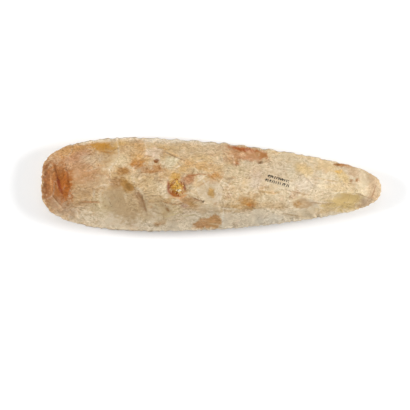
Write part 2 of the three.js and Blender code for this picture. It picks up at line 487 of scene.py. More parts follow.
def points_object(name, places, attributes):
    """Points with vector attributes, for a geometry tree to read one by one."""
    mesh = bpy.data.meshes.new(name)
    mesh.vertices.add(len(places))
    mesh.vertices.foreach_set("co", np.asarray(places, np.float32).ravel())
    for label, values in attributes.items():
        layer = mesh.attributes.new(label, VECTOR, "POINT")
        layer.data.foreach_set("vector", np.asarray(values, np.float32).ravel())
    obj = new_object(name, mesh)
    obj.hide_render = True
    obj.hide_viewport = True
    return obj


scar_points = points_object(
    "scar_list",
    [(*scar["start"], 0) for scar in scars],
    {
        "along": [(*scar["along"], 0) for scar in scars],
        "sizes": [(scar["length"], scar["half_width"], scar["depth"]) for scar in scars],
        "kind": [(scar["face"], scar["kind"], texture_of(i, scar)) for i, scar in enumerate(scars)],
        "colour": [paint(scar["colour"])[:3] if scar.get("colour") else (0, 0, 0) for scar in scars],
    },
)


# %% The blank's surface
def bites(face):
    """How far the flakes of one face bite the edge back, all round it."""
    around = np.arange(AROUND) / AROUND
    deepest = np.zeros(AROUND)
    for scar in edge_flakes:
        if scar["face"] == face:
            apart = np.abs((scar["share"] - around + 1.5) % 1 - 0.5) * PERIMETER
            deepest = np.maximum(deepest, scar["bite"] * (1 - (apart / scar["half_width"]) ** 2))
    return deepest


def blank_mesh():
    """The stone before it is knapped: flat at the height of its edge, with its bulge as an attribute."""
    edge, crest, reach = station(np.arange(AROUND) / AROUND)
    above, below = bites(UPPER), bites(UNDER)
    over = np.linspace(0, 1, ACROSS + 1)[:, None]
    outwards = 1 - np.abs(2 * over - 1)
    at_edge = outwards ** FADING
    bitten = outwards - at_edge * np.maximum(above, below) / reach
    flat = crest + (edge - crest) * bitten[..., None]
    height = EDGE_HEIGHT + EDGE_WAVE * (below - above) * at_edge
    end_reach = np.sign(crest[:, 0] - THICKEST_X) * CREST_SHARE * LENGTH / 2 - THICKEST_X
    thickness = 1 - (1 - THIN_END_SHARE) * ((crest[:, 0] - THICKEST_X) / end_reach) ** 2
    upper = over < 0.5
    bulge = np.where(upper, UPPER_RISE, UNDER_DROP) * thickness * (1 - outwards ** SECTION_POWER)
    places = np.concatenate([flat, height[..., None]], -1).reshape(-1, 3)

    ring = np.arange(AROUND)
    row = np.arange(ACROSS)[:, None] * AROUND
    corners = [row + ring, row + AROUND + ring, row + AROUND + (ring + 1) % AROUND, row + (ring + 1) % AROUND]
    quads = np.stack(corners, -1).reshape(-1, 4)

    mesh = bpy.data.meshes.new("knapped_flint")
    mesh.from_pydata(places.tolist(), [], quads.tolist())
    facts = {"bulge": bulge, "face": np.where(upper, UPPER, UNDER), "outwards": outwards}
    for label, values in facts.items():
        at_points = np.broadcast_to(values, bulge.shape).astype(np.float32).ravel()
        mesh.attributes.new(label, "FLOAT", "POINT").data.foreach_set("value", at_points)
    return mesh


stone = new_object("knapped_flint", blank_mesh())
print("blank:", len(stone.data.vertices), "points")

# %% [markdown]
# ## Knapping
# Carving the flakes one by one with boolean cuts would be slow and would leave slivers. A scar is
# only a depth below the blank, so it is enough to know the deepest scar at each point. A Geometry
# Nodes repeat zone goes through the list of scars and keeps the deepest cut. Where two bowls meet, the
# sharp ridge between them, the arris, comes by itself. The tree also keeps which blow made the
# deepest cut, for the ripples that run out from it, and the second deepest, to know the arrises.

# %% One blow
FLAKE_PEAK = 2.6  # brings the deepest place of a flake's scar to 1
FLARE_AT_START, FLARE_INWARDS = 0.75, 0.4


def strike(nodes, stone_so_far, read):
    """One scar is cut into the stone."""
    length, half, depth = nodes.split(read("sizes"))
    face, kind, texture = nodes.split(read("kind"))
    apart = position(nodes).vector("SUBTRACT", read("position"))
    apart_x, apart_y, _ = nodes.split(apart)
    way_x, way_y, _ = nodes.split(read("along"))
    along = (apart_x * way_x + apart_y * way_y) / length
    across = (apart_y * way_x - apart_x * way_y) / half
    is_flake = kind < 0.5
    is_step = kind > 1.5
    flare = nodes.mix(is_flake, 1.0, FLARE_AT_START + FLARE_INWARDS * along, "FLOAT")
    sideways = (across / flare) ** 2
    hollow = 1 - along * along - sideways
    flake = FLAKE_PEAK * (along.max(0) ** 0.5) * (1 - along).max(0) * (1 - sideways)
    torn = along.max(0) * (along < 1) * (1 - sideways)
    shape = nodes.mix(is_flake, nodes.mix(is_step, hollow, torn, "FLOAT"), flake, "FLOAT")
    same_face = (named(nodes, "face") * face) > 0
    captured = store(nodes, stone_so_far, "this", (depth * shape * same_face).max(0))
    this, cut = named(nodes, "this"), named(nodes, "cut")
    touched, deepest = this > 0, this > cut
    seconded = store(nodes, captured, "second", named(nodes, "second").max(cut.min(this)), touched)
    hit = nodes.join(apart.vector("LENGTH").out("Value"), along, texture)
    owned = store(nodes, seconded, "hit", hit, deepest)
    tinted = store(nodes, owned, "tint", read("colour"), deepest)
    return store(nodes, tinted, "cut", cut.max(this), touched)


# %% The knapping tree
DEEPEST_SHARE = 0.6  # no cut goes deeper than this share of the stone's bulge
# The two deepest cuts are nearly equal at an arris, and far apart in a hollow
ARRIS_GAP, HOLLOW_GAP = 0.35 * MM, 1.6 * MM
RIPPLE_WAVER = 3 * MM
WELD = 0.01 * MM


def knapping_tree():
    nodes, given = geometry_tree("Knapping", {
        "Scars": "Object", "Ripple height": "Float", "Ripple pitch": "Float", "Grain height": "Float",
        "Pit depth": "Float", "Material": "Material",
    })
    knapped = for_each_point(nodes, given["Geometry"], given["Scars"], strike)

    place = position(nodes)
    cut, second, bulge = named(nodes, "cut"), named(nodes, "second"), named(nodes, "bulge")
    away, along, _ = nodes.split(named(nodes, "hit", VECTOR))
    arris = (cut - second).ramp(ARRIS_GAP, 0.0) * bulge.ramp(0.2 * MM, 2 * MM)
    hollow = (cut - second).ramp(0, HOLLOW_GAP) * bulge.ramp(0.5 * MM, 3 * MM)
    wavering = away + nodes.noise(place, 9) * RIPPLE_WAVER
    ripple = (wavering * math.tau / given["Ripple pitch"]).sine() * given["Ripple height"]
    ripples = ripple * along.ramp(0.15, 0.8) * nodes.clouds(place, 22, 3, 0.36, 0.55)
    grain = (nodes.noise(place, 5, detail=5, rough=0.65) - 0.5) * given["Grain height"]
    pits = nodes.cells(place, 3.2).ramp(0.22, 0.05) * nodes.clouds(place, 16, 7, 0.55, 0.68)
    relief = ripples + grain - pits * given["Pit depth"]
    kept = bulge - cut.min(bulge * DEEPEST_SHARE) + relief * bulge.ramp(0.0, 1.5 * MM)

    x, y, edge_height = nodes.split(place)
    knapped_place = nodes.join(x, y, (edge_height + named(nodes, "face") * kept).max(0))
    marked = store(nodes, store(nodes, knapped, "arris", arris), "hollow", hollow)
    raised = nodes.add("GeometryNodeSetPosition", {"Geometry": marked, "Position": knapped_place})
    welded = nodes.add("GeometryNodeMergeByDistance", {"Geometry": raised, "Distance": WELD})
    smooth = nodes.add("GeometryNodeSetShadeSmooth", {"Geometry": welded})
    return finish_tree(nodes, smooth, given["Material"])


# %% [markdown]
# ## The patina
# Fresh flint is grey. Thousands of years in the ground turned this one cream, and iron stained it
# honey, ochre and rust in patches with wandering borders. A patch is a soft ellipse, so a second
# repeat zone lays the list of stains over the stone one by one, each with its own colour. The places
# are first shifted by two sizes of noise, so that no border stays a plain curve, and a little more from
# scar to scar, since a stain often stops at an arris. Thin lines are laid the same way: some are cracks and
# worn ridges, others painted highlight and painted shade along ridges and steps.

# %% Stains of the upper face
# Middle x and y, half length and half width in mm, turn in radians, colour, and then strength and
# softness, which are 0.9 and 0.4 where they are left out
STAINS = [
    # the lower band, greyer than the rest, and the paler middle of the narrow half
    (-30, -30, 105, 13, 0, "#e3d2b7", 0.85, 0.3),
    (58, -25, 72, 10, 0.13, "#e8d6b9", 0.9, 0.25),
    (84, -21, 17, 5, 0.22, "#e6d0ad", 0.85),
    (48, -28.5, 12, 3.5, 0.12, "#efe3cc", 0.7, 0.5),
    (85, 6, 48, 12, -0.05, "#e7d5b6", 0.75, 0.5),
    (74, 2, 12, 7, -0.1, "#e6d5bf", 0.6, 0.5),
    (50, 14, 22, 11, -0.1, "#d9c2a2", 0.7, 0.5),
    (-8, 30, 34, 7, -0.03, "#d3b996", 0.7),
    (-45, 32, 30, 6, 0.05, "#d4b485", 0.7),
    (-40, 38.5, 75, 3.5, 0, "#e4d6c0", 0.85, 0.5),
    # the working end, stained brown and orange
    (-120, 18, 22, 18, 0.3, "#c59871", 0.9, 0.3),
    (-130, -5, 11.5, 18, 0.1, "#a27048", 1, 0.35),
    (-137, 0, 3.8, 15, 0, "#94613e", 1),
    (-116, 28, 15, 5, 0.35, "#c9985f", 0.8),
    (-110, 22, 12, 4, 0.3, "#c4926e", 0.7),
    (-122, -20, 11, 8, -0.7, "#b89779"),
    (-108, -18, 13, 4, 0, "#b4916a", 0.8),
    (-104, -4, 14, 11, 0, "#bc9a74", 0.9, 0.5),
    (-106, 9, 14, 7, 0, "#c2946a", 0.9, 0.5),
    (-92, 30.2, 9.6, 3.8, -0.02, "#c69149", 1, 0.22),
    (-77, 33, 7, 3.6, 0.1, "#d0a767", 0.7, 0.5),
    (-102, 36, 15, 2.4, 0.16, "#ead9be", 0.85),
    (-88, 24, 7, 4, 0.1, "#cba36f", 0.7, 0.5),
    (-98, 21, 9, 4, 0.1, "#d2b694"),
    (-125, 0, 9, 17, 0.12, "#ae7445", 1, 0.3),
    (-122.5, -3, 6.5, 11, 0.2, "#a96431", 1),
    # the dark scar and what lies round it
    (-72, -16.5, 18, 14, -0.5, "#c1a57f", 1, 0.2),
    (-91, -19, 9, 8, 0, "#cbb58e", 0.8, 0.5),
    (-69, -1.2, 9, 5.4, -0.6, "#b0864f", 1, 0.2),
    (-79, 0, 5, 5, -0.3, "#b08a62"),
    (-58, -12.5, 9.5, 3.2, -1.15, "#a78460", 0.9, 0.3),
    (-72, -13, 9, 6, -0.3, "#b59a74", 0.6),
    (-71.5, 9.6, 5.4, 3.2, -0.15, "#ae8150", 1),
    (-61, 17, 5.2, 4.3, 0.3, "#bb7f42", 1, 0.35),
    (-55, 12, 5, 2.4, -0.05, "#ca9a69", 0.8, 0.5),
    (-47, 11.3, 8, 1.8, 0.05, "#be8955", 0.95),
    (-60, 28, 6, 9, 0.1, "#cea067", 0.85),
    (-69, 27, 7, 5, 0.1, "#d3b083", 0.7, 0.5),
    (-75, 19.5, 7, 4.6, 0.1, "#d7c09a", 0.85, 0.3),
    (-49, 26, 8, 4.6, 0.1, "#ddc4a8", 0.9, 0.3),
    (-46, 13, 7, 3, 0, "#bf8c58", 0.95),
    (-46, 19.3, 2.0, 1.6, 0, "#8c5a36", 1, 0.3),
    (-43, 12, 1.6, 3, 0.3, "#a8713f"),
    (-41.5, -31, 5, 2.5, 0.45, "#ae8251", 1, 0.3),
    (-54, -27, 6, 4, 0.5, "#b89d75", 0.7),
    (-66, 3.5, 6, 2.5, -0.3, "#d0b48a", 0.8),
    # between the dark scar and the vug
    (-48, -3, 9, 9, 0, "#d0b58c"),
    (-40, -4, 4.5, 7, 0.1, "#dfcaa8"),
    (-40, -17, 12, 5, 0, "#c0a57d", 0.8, 0.5),
    (-36, -28, 15, 4, 0.05, "#cfb997", 0.7),
    (-33, 19, 7, 5.5, 0, "#d9c9a7", 0.9, 0.3),
    (-41, 7, 6, 5, 0, "#d0ab7c", 0.7, 0.5),
    (-25, 14, 5, 4, 0, "#d6ad72", 0.7),
    (-29, 7, 4, 3, 0, "#cf9f55"),
    (-30, 1, 5, 4.5, 0, "#d6a857", 1, 0.3),
    (-27, -5, 5, 3.5, 0.2, "#c9934c", 0.9, 0.35),
    (-12, 17, 11, 4.5, -0.1, "#cfa36a"),
    (-9, 23, 9, 3.5, -0.1, "#d0b080", 0.7, 0.5),
    (4, 14, 6, 4, -0.1, "#d1aa77", 0.7, 0.5),
    (-19, 4, 4.5, 4, 0.6, "#bd8a63", 0.95, 0.35),
    (3, 8, 5.5, 2.4, -0.1, "#cc9557", 0.9, 0.35),
    (-20, -13, 7, 3, -0.1, "#bb9366", 0.95, 0.3),
    (-16, -18, 6, 3, -0.3, "#b68f5f", 0.85),
    (-22, -18, 3, 2, -0.3, "#c79f8a", 0.8),
    (6, -4, 6, 8, 0, "#e6d3b6", 0.6, 0.5),
    (-0.5, -4.8, 4.6, 3.0, 1.9, "#c29c64", 1, 0.25),
    (-9, -21, 7, 3, -0.2, "#c4a885", 0.8),
    (-4, -13.6, 6, 2.2, -0.35, "#decba9", 0.8),
    (-33, -22, 10, 3, 0.15, "#ccb183", 0.8, 0.5),
    # the brown patch on the lower band
    (-5, -31.5, 9.5, 4.2, 0.3, "#c59768", 1, 0.14),
    (3.5, -30, 5.8, 5.4, 0.4, "#c89a68", 1, 0.12),
    (-8, -34, 5, 2.2, 0.1, "#c08f60", 0.8, 0.3),
    (3, -29, 1.6, 1.2, 0, "#d8a878", 0.9, 0.3),
    # the rust along the far edge, and the spots below it
    (28, 28.5, 17, 5.5, -0.12, "#bc8d62", 0.95),
    (26, 31.3, 12, 1.6, -0.12, "#a65a30"),
    (42.5, 27, 5, 4.4, -0.1, "#b37d50", 1, 0.2),
    (27, 24, 12, 3, -0.1, "#c59068"),
    (20, 18, 3.4, 2.8, 0, "#b06c3c", 1, 0.35),
    (16, 22, 5, 4, 0.3, "#c89c70", 0.8, 0.5),
    (25, 26.5, 3.5, 1.6, -0.3, "#dfb68e", 0.9, 0.3),
    (31, 29, 2.4, 1.2, -0.2, "#dfb18a", 0.8, 0.3),
    (21, 12, 9, 5, -0.2, "#dcc5a0"),
    (39.5, 20.4, 1.6, 0.9, 0, "#8f7152", 1, 0.3),
    # under the crest, past the pale scar
    (31, -14, 8, 4.2, -0.2, "#bd9058", 1, 0.3),
    (33, -16, 3, 1.8, -0.1, "#b4763a", 1, 0.35),
    (38, -8.5, 6, 2.4, 0.35, "#c39a66", 0.8, 0.35),
    (17, -20, 14, 3, 0.02, "#bea078"),
    (47, -11, 9, 5, 0, "#d2be9d"),
    (52, -15.5, 13, 3, 0, "#cfb38c"),
    (23, -17.3, 12, 1.8, -0.02, "#c6a473"),
    (37, 8, 5, 7, 0.2, "#dfc6aa"),
    (35, 1, 5, 5, 0, "#e2ceb5", 0.7, 0.5),
    (43, -1, 3, 3, 0, "#d2b089", 0.8),
    # the narrow half
    (75, -13, 8, 4.6, -0.15, "#ceb08a", 1, 0.2),
    (71, -14.5, 3, 2.6, 0.3, "#b68e5c", 0.9, 0.35),
    (66, 10, 6, 8, 0, "#dfceaf", 0.8, 0.5),
    (77, 15.5, 8, 5, -0.3, "#dfc08c"),
    (63, 25, 12, 3, -0.15, "#d8c6a6", 0.8),
    (97, 17, 10, 4, -0.25, "#dcc093"),
    (106, 13.7, 2.6, 2, 0, "#dda94a", 1, 0.3),
    (109, 8, 4, 7, 0.7, "#dfbf85", 0.8),
    (111, 19.2, 7.5, 1.8, -0.28, "#b27c4a", 1, 0.3),
    (105.5, 20.8, 2.4, 1.1, -0.2, "#95643a", 0.9, 0.3),
    (116, 6.3, 1.9, 1.6, 0.3, "#ad8054", 0.95),
    (120.7, 6.8, 1.3, 1.7, 0, "#ad7c52"),
    (118, 14, 8, 4, -0.4, "#d0b493"),
    (107, 1, 14, 3.4, 0, "#e2c9a0", 0.8),
    (110, -11, 19, 7.6, 0.02, "#d5b880", 1, 0.25),
    (129, -11, 8, 3.8, 0.5, "#bea385", 0.95, 0.35),
    (94, -18.5, 9, 2.8, 0.2, "#d9bd90"),
    (136, 3, 6, 15, 0.1, "#cbb08f", 1, 0.5),
    (92, -6, 12, 4, 0, "#e0cbaa", 0.85),
]
# Pale lines along ridges and dark lines along cracks, steps and ridges, partly wear and cracks and partly
# painted highlight and painted shade: from x and y, to x and y, half width, colour
LINES_AND_PAINTED_LIGHT = [
    (-131, 15, -128, 4, 1.2, "#8a5426"), (-128, 4, -124, -9, 1.3, "#874316"),
    (-120, 10, -118, -3, 1.0, "#96592c"), (-134, 8, -133, -8, 0.8, "#c08a5c"),
    (-37, 26.3, -24, 20.6, 0.55, "#7c5432"), (-37, 28, -25, 22.6, 0.8, "#e6bf8b"),
    (-66, 0.8, -60, -5, 0.5, "#cdb080"), (-59, -4, -54.5, -13, 0.6, "#dcc49c"),
    (-54.5, -13, -52, -24, 0.6, "#d0b891"), (-60, -7, -56, -15, 0.7, "#9a7450"),
    (-56, -15, -53.5, -24, 0.7, "#9c7855"), (-16, -9, -6, -13.6, 0.7, "#efdcb8"),
    (-6, -13.6, 8, -18, 0.7, "#e8d3b0"), (-15, -10.4, -8, -13.4, 0.6, "#8c6040"),
    (-20, 7, -10, 9.2, 0.7, "#a8683f"), (-10, 9.2, -2, 8.6, 0.6, "#b07a4a"),
    (-12, 3, -5, 8, 0.6, "#e9d6b8"), (-10, 0, -2, 4.5, 0.5, "#b98f66"),
    (-35.6, 2, -35.2, -6, 1.3, "#9a4a16"), (-35.2, -6, -30, -9.4, 1.2, "#a3541e"),
    (-30, -9.4, -26, -9.6, 0.9, "#a8622e"), (-24, 2.5, -21.4, -4, 1.3, "#85401a"),
    (-34, -10.6, -26, -11.2, 0.6, "#e7b98a"), (-26, -11, -20.5, -8.2, 0.8, "#dca06a"),
    (-18, -6, -12, -9, 0.5, "#ead7b6"), (39, -3.8, 52, -5.6, 0.7, "#bf9c68"),
    (52, -5.6, 57, -4, 0.7, "#c6a472"), (82, -11, 99, -12, 0.6, "#ecd9bc"),
    (83, -12.4, 97, -13.2, 0.5, "#b99a78"), (101, -4.4, 112, -2.6, 0.7, "#ecdcba"),
    (112, -2.6, 127, -3.2, 0.7, "#e8d4ac"), (121, -4.2, 130, -7, 0.6, "#927450"),
    (68, -11, 74, -8, 0.5, "#e3cfa8"), (132, 5, 134, -5, 0.6, "#ccae8c"),
    (137, 2, 134, -7.5, 0.6, "#a98262"), (-30, 13.5, -25, 17, 0.6, "#ecdcc0"),
    (-28, 18.5, -24.5, 15, 0.5, "#a98a66"), (-45, 31, -37, 29.5, 0.6, "#c2995f"),
    (-58, 9.6, -44, 10.5, 0.6, "#b98350"), (-13, -24.4, -25, -26, 0.6, "#d9c69e"),
    (-9.5, -28, -1, -24.3, 0.5, "#d2bd98"), (-92, 26.6, -84, 25.6, 0.6, "#b4793c"),
    (-107, -15.6, -92, -15.8, 0.8, "#a8744a"), (10.4, -21, 10.2, -38, 0.5, "#e9dfcc"),
    (-1, -31.5, 9, -32.6, 0.5, "#dfc6a0"), (8, -19, 22, -19.4, 0.6, "#e6d4b6"),
    (-37, -26.4, -25.5, -23.2, 0.6, "#dfcb9b"), (-40, -14, -31, -16.5, 0.6, "#a57e54"),
    (-31, -16.5, -22, -15, 0.6, "#b08658"), (-37, -19.6, -35, -21.5, 1.0, "#9b7044"),
    (-33, -12.5, -27, -13.5, 0.5, "#e8d5ae"), (-48, -22, -40, -24.5, 0.6, "#ad8f67"),
    (-50, -16, -43, -19, 0.6, "#e0cda8"), (60, -22, 74, -24, 0.6, "#bf9f76"),
    (66, -27, 80, -26, 0.5, "#f0e2c8"), (-133, -10, -127, -17, 0.7, "#8c613d"),
    (-131, -14, -124, -22, 0.6, "#d6b692"), (22, -19.4, 44, -17.6, 0.6, "#b59468"),
    (44, -17.6, 62, -16.4, 0.6, "#bda078"), (17, 26, 19.5, 17, 0.6, "#e3c3a0"),
    (33, 31, 36.5, 24.5, 0.6, "#d9a47c"), (-58, 24, -46, 22, 0.6, "#b98e60"),
    (-8, 6, -3, -1, 0.4, "#e4d2b6"), (-2, 8, 6, 3, 0.5, "#b9895c"),
    (52, 3, 70, -1, 0.6, "#e9d8b8"), (62, -3, 82, -6.5, 0.5, "#b99872"),
    (88, 8, 106, 5, 0.5, "#c9a877"),
]
# The underside has the same kinds of stain, fewer and larger, spread evenly along it
UNDER_COUNT, UNDER_BROAD = 22, 12  # how many there are, and how many of them lie on the broad half
UNDER_COLOURS = ["#bd8c55", "#c9ab7d", "#d6bf98", "#b7885a", "#bda784"]
UNDER_STAINS = [
    (
        between(-130, 125, (i + vary(i, 71)) / UNDER_COUNT),
        between(-26, 26, vary(i, 72)) * (1 if i < UNDER_BROAD else 0.6),
        between(8, 24, vary(i, 73)),
        between(5, 12, vary(i, 74)),
        between(-0.7, 0.7, vary(i, 75)),
        UNDER_COLOURS[i % len(UNDER_COLOURS)],
        0.75,
    )
    for i in range(UNDER_COUNT)
]


# %% The list of stains as points
LINE_END = 1  # how far a line runs on past its two ends, in mm
LINE_STRENGTH = 0.8


def line_of_stain_or_light(x, y, to_x, to_y, width, colour):
    """A line is laid as a long thin stain; some lines are cracks and worn ridges, others painted highlight
    and painted shade.
    """
    length = math.hypot(to_x - x, to_y - y) / 2
    turn = math.atan2(to_y - y, to_x - x)
    return (x + to_x) / 2, (y + to_y) / 2, length + LINE_END, width, turn, colour, LINE_STRENGTH


def stain_point(face, wander, broken, x, y, length, width, turn, colour, strength=0.9, softness=0.4):
    return dict(
        place=(x * MM, y * MM, 0), habit=(wander, broken, face), sizes=(length * MM, width * MM, softness),
        turn=(math.cos(turn), math.sin(turn), strength), colour=paint(colour)[:3])


# Each group has its face, how far its stains wander and how broken their borders are
# The lines of the second group are partly cracks and worn ridges, partly painted highlight and painted shade
stain_groups = [
    (UPPER, 0.6, 0.8, STAINS),
    (UPPER, 0.12, 0.3, [line_of_stain_or_light(*line) for line in LINES_AND_PAINTED_LIGHT]),
    (UNDER, 1.0, 1.0, UNDER_STAINS),
]
stains = [stain_point(*group, *stain) for *group, members in stain_groups for stain in members]
stain_points = points_object(
    "stain_list",
    [stain["place"] for stain in stains],
    {label: [stain[label] for stain in stains] for label in ("habit", "sizes", "turn", "colour")},
)
print("stains:", len(stains))


# %% Laying one stain
SOFT_BORDER = 1.5  # times the softness, how far the border spreads to each side, against the stain's size


def lay_stain_or_light(nodes, stone_so_far, read):
    """One stain or line is laid over the colours so far; some lines are painted highlight and painted shade.
    """
    length, width, softness = nodes.split(read("sizes"))
    cos, sin, strength = nodes.split(read("turn"))
    wander, broken, face = nodes.split(read("habit"))
    moved = position(nodes).vector("ADD", named(nodes, "wandering", VECTOR).scaled(wander))
    apart_x, apart_y, _ = nodes.split(moved.vector("SUBTRACT", read("position")))
    along = (apart_x * cos + apart_y * sin) / length
    across = (apart_y * cos - apart_x * sin) / width
    away = (along * along + across * across) ** 0.5 + named(nodes, "broken") * broken
    same_face = (named(nodes, "face") * face) > 0
    border = SOFT_BORDER * softness
    mask = away.ramp(1 + border, 1 - border) * strength * same_face
    touched = mask > 0
    laid = nodes.mix(mask, named(nodes, "patina", VECTOR), read("colour"), "VECTOR")
    counted = store(nodes, stone_so_far, "stained", named(nodes, "stained").max(mask), touched)
    return store(nodes, counted, "patina", laid, touched)


# %% The staining tree
BROAD_COLOUR, NARROW_COLOUR = "#cfae82", "#dcc6a2"
FINE_WANDER = 0.8  # against the broad wandering of a border
BREAKING = 2.4
SHUFFLE = 7  # makes a second chance value of each scar's texture
TINT_STRENGTH = 0.85


def staining_tree():
    nodes, given = geometry_tree("Staining", {
        "Stains": "Object", "Wander": "Float", "Scar shift": "Float", "Material": "Material",
    })
    place = position(nodes)

    broad = drift(nodes, place, 14, seed=1, detail=2)
    fine = drift(nodes, place, 3.5, seed=2, detail=4, rough=0.65)
    shift = broad.vector("ADD", fine.scaled(FINE_WANDER)).scaled(given["Wander"])
    _, _, texture = nodes.split(named(nodes, "hit", VECTOR))
    shuffled = texture * SHUFFLE - (texture * SHUFFLE).floor()
    by_scar = nodes.join(texture - 0.5, shuffled - 0.5).scaled(given["Scar shift"])
    wandered = store(nodes, given["Geometry"], "wandering", shift.vector("ADD", by_scar))
    broken = (nodes.noise(place, 3.2, 27, detail=4, rough=0.65) - 0.5) * BREAKING
    wandered = store(nodes, wandered, "broken", broken)

    x, _, _ = nodes.split(place.vector("ADD", named(nodes, "wandering", VECTOR)))
    half = x.ramp(-70 * MM, 80 * MM)
    base = nodes.mix(half, paint(BROAD_COLOUR)[:3], paint(NARROW_COLOUR)[:3], "VECTOR")
    tint = named(nodes, "tint", VECTOR)
    tinted = tint.vector("LENGTH").out("Value") > 0.01
    tinted = tinted * nodes.clouds(place, 9, 26, 0.36, 0.5, detail=4)
    cream = store(nodes, wandered, "patina", nodes.mix(tinted * TINT_STRENGTH, base, tint, "VECTOR"))
    stained = for_each_point(nodes, cream, given["Stains"], lay_stain_or_light)
    return finish_tree(nodes, stained, given["Material"])


# %% [markdown]
# ## The flint's finish
# The patina attribute, with the painted highlight and shade lines laid into it, gives the broad colours. The
# finish adds what is too fine for points: cloudy mottling, streaks from the flint's growth, brown and white
# specks, hair cracks, a paler line along some arrises, partly wear and partly painted highlight, darker scar
# hollows, partly dirt and partly painted shade, and a pale and grey rim along the edge, partly painted
# highlight. The grain is made of short strokes that drift with the scars, and of ripples round the point of
# each blow; in the colour it is partly the stone's own grain and partly painted shade of that fine relief. It
# is strong in some scars and nearly absent in others, since flint breaks rough in one place and smooth in the
# next. The gloss is soft, and the grain a low bump.

# %% The ink marking
INK_ROWS = [(46.4, 9.3, 18.4), (44.4, 5.9, 20.4)]  # where each row starts, and its length, in mm
INK_TURN = -0.25
INK_HEIGHT, INK_PITCH = 2.5 * MM, 1.75 * MM
INK_COLOUR, INK_STRENGTH = "#2b221c", 0.95


def ink_mask(nodes, place):
    """Two rows of short pen strokes, some upright, some leaning or lying, that spell nothing."""
    x, y, z = nodes.split(place)
    cos, sin = math.cos(INK_TURN), math.sin(INK_TURN)
    rows = []
    for number, (start_x, start_y, length) in enumerate(INK_ROWS):
        apart_x, apart_y = x - start_x * MM, y - start_y * MM
        along = apart_x * cos + apart_y * sin
        above = apart_y * cos - apart_x * sin
        cell = (along / INK_PITCH).floor()
        within = along / INK_PITCH - cell
        chance = nodes.add("ShaderNodeTexWhiteNoise", [nodes.join(cell, number * 7.0)], noise_dimensions="2D")
        lean, high, kind = nodes.split(chance.out("Color"))
        level = above / INK_HEIGHT
        leaning = (within - 0.3 - 0.4 * lean - level * (lean - 0.3)).size().ramp(0.26, 0.16)
        upright = leaning * (level.size() < 0.38 + 0.15 * high)
        lying = (level - 0.5 * high + 0.2).size().ramp(0.2, 0.12) * (kind > 0.5)
        rows.append(upright.max(lying) * (along > 0) * (along < length * MM))
    return rows[0].max(rows[1]) * (z > EDGE_HEIGHT)


# %% Clouds and streaks
# Size in mm, seed, how high the noise is where a cloud starts and where it is full, strength, colour
CLOUDS = [
    (14, 4, 0.5, 0.66, 0.25, "#e6d6ba"),
    (12, 17, 0.52, 0.66, 0.2, "#c4b9a8"),
    (9, 21, 0.5, 0.64, 0.2, "#cf9a4e"),
    (7, 11, 0.56, 0.68, 0.3, "#ba7440"),
    (5, 18, 0.56, 0.68, 0.25, "#94704c"),
    (5, 19, 0.52, 0.64, 0.2, "#f0e3ca"),
]
STREAK_SIZE, STREAK_SQUEEZE, STREAK_STRENGTH, STREAK_COLOUR = 1.8, 0.15, 0.3, "#efe2c8"
HIDDEN = 0.8  # how much of the clouds and streaks a full stain hides


def clouded(nodes, place, patina, pale):
    """The colour laid by the stains and the painted highlight and shade lines, with its clouds and streaks,
    faint where a stain or line lies and where the stone is dark.
    """
    bare_of_stain_and_light = (1 - HIDDEN * attribute(nodes, "stained")) * pale
    colour = patina
    for size, seed, low, high, strength, code in CLOUDS:
        cloud = nodes.clouds(place, size, seed, low, high, detail=2, rough=0.5)
        colour = nodes.mix(cloud * strength * bare_of_stain_and_light, colour, paint(code))
    x, y, z = nodes.split(place)
    streaks = nodes.clouds(nodes.join(x * STREAK_SQUEEZE, y, z), STREAK_SIZE, 5, 0.52, 0.72)
    return nodes.mix(streaks * STREAK_STRENGTH * bare_of_stain_and_light, colour, paint(STREAK_COLOUR))


# %% Pale ridges and the pale and grey rim of the edge, partly wear and partly painted highlight
# Arrises are paler, partly from wear and partly as a painted highlight
RIDGE_STRENGTH, RIDGE_ON_PALE, RIDGE_WEAR_AND_HIGHLIGHT_COLOUR = 0.1, 0.14, "#f6ead2"
# The rim along the edge is partly the thin edge's own grey, partly a painted highlight where the sharp edge
# catches the light
RIM_FROM, RIM_STRENGTH, EDGE_GREY_AND_HIGHLIGHT_COLOURS = 0.955, 0.7, ("#e2dbcd", "#aca08d")
BARE = 0.7  # how much less of the pale and grey rim there is at the two ends
RIM_FADE_AT_ENDS = [(118 * MM, 134 * MM), (-108 * MM, -130 * MM)]  # where that starts and is full, at each end


def edges_worn_and_highlit(nodes, place, colour, pale):
    """The colour with paler arrises, partly wear and partly painted highlight, and a pale and grey rim along
    the edge, partly its own colour and partly painted highlight, less of it at the two ends.
    """
    x, _, _ = nodes.split(place)
    ridge_wear_and_highlight = attribute(nodes, "arris") * nodes.clouds(place, 11, 14, 0.5, 0.6, detail=4)
    colour = nodes.mix(ridge_wear_and_highlight * (RIDGE_STRENGTH + RIDGE_ON_PALE * pale), colour, paint(RIDGE_WEAR_AND_HIGHLIGHT_COLOUR))
    rim = attribute(nodes, "outwards").ramp(RIM_FROM, 1.0) * nodes.clouds(place, 4, 15, 0.35, 0.6)
    for start, end in RIM_FADE_AT_ENDS:
        rim = rim * (1 - BARE * x.ramp(start, end))
    edge_grey_and_highlight = nodes.mix(nodes.clouds(place, 12, 28, 0.45, 0.55), *[paint(code) for code in EDGE_GREY_AND_HIGHLIGHT_COLOURS])
    return nodes.mix(rim * RIM_STRENGTH, colour, edge_grey_and_highlight)


# %% The grain
GRAIN_SIZE, WRINKLE_SIZE, CREASE_SIZE, RIPPLE_PITCH = 1.3, 2.6, 4, 2.3  # in mm
DRIFT_SIZE, DRIFT, GRAIN_SQUEEZE, GRAIN_WAVER = 18, 16 * MM, 0.6, 4 * MM
# Spots: how far apart in mm, the largest against that, seed, and the size and seed of their clouds
SPECKS, FLECKS = (2.1, 0.28, 6, 6, 8), (2.4, 0.3, 9, 5, 10)


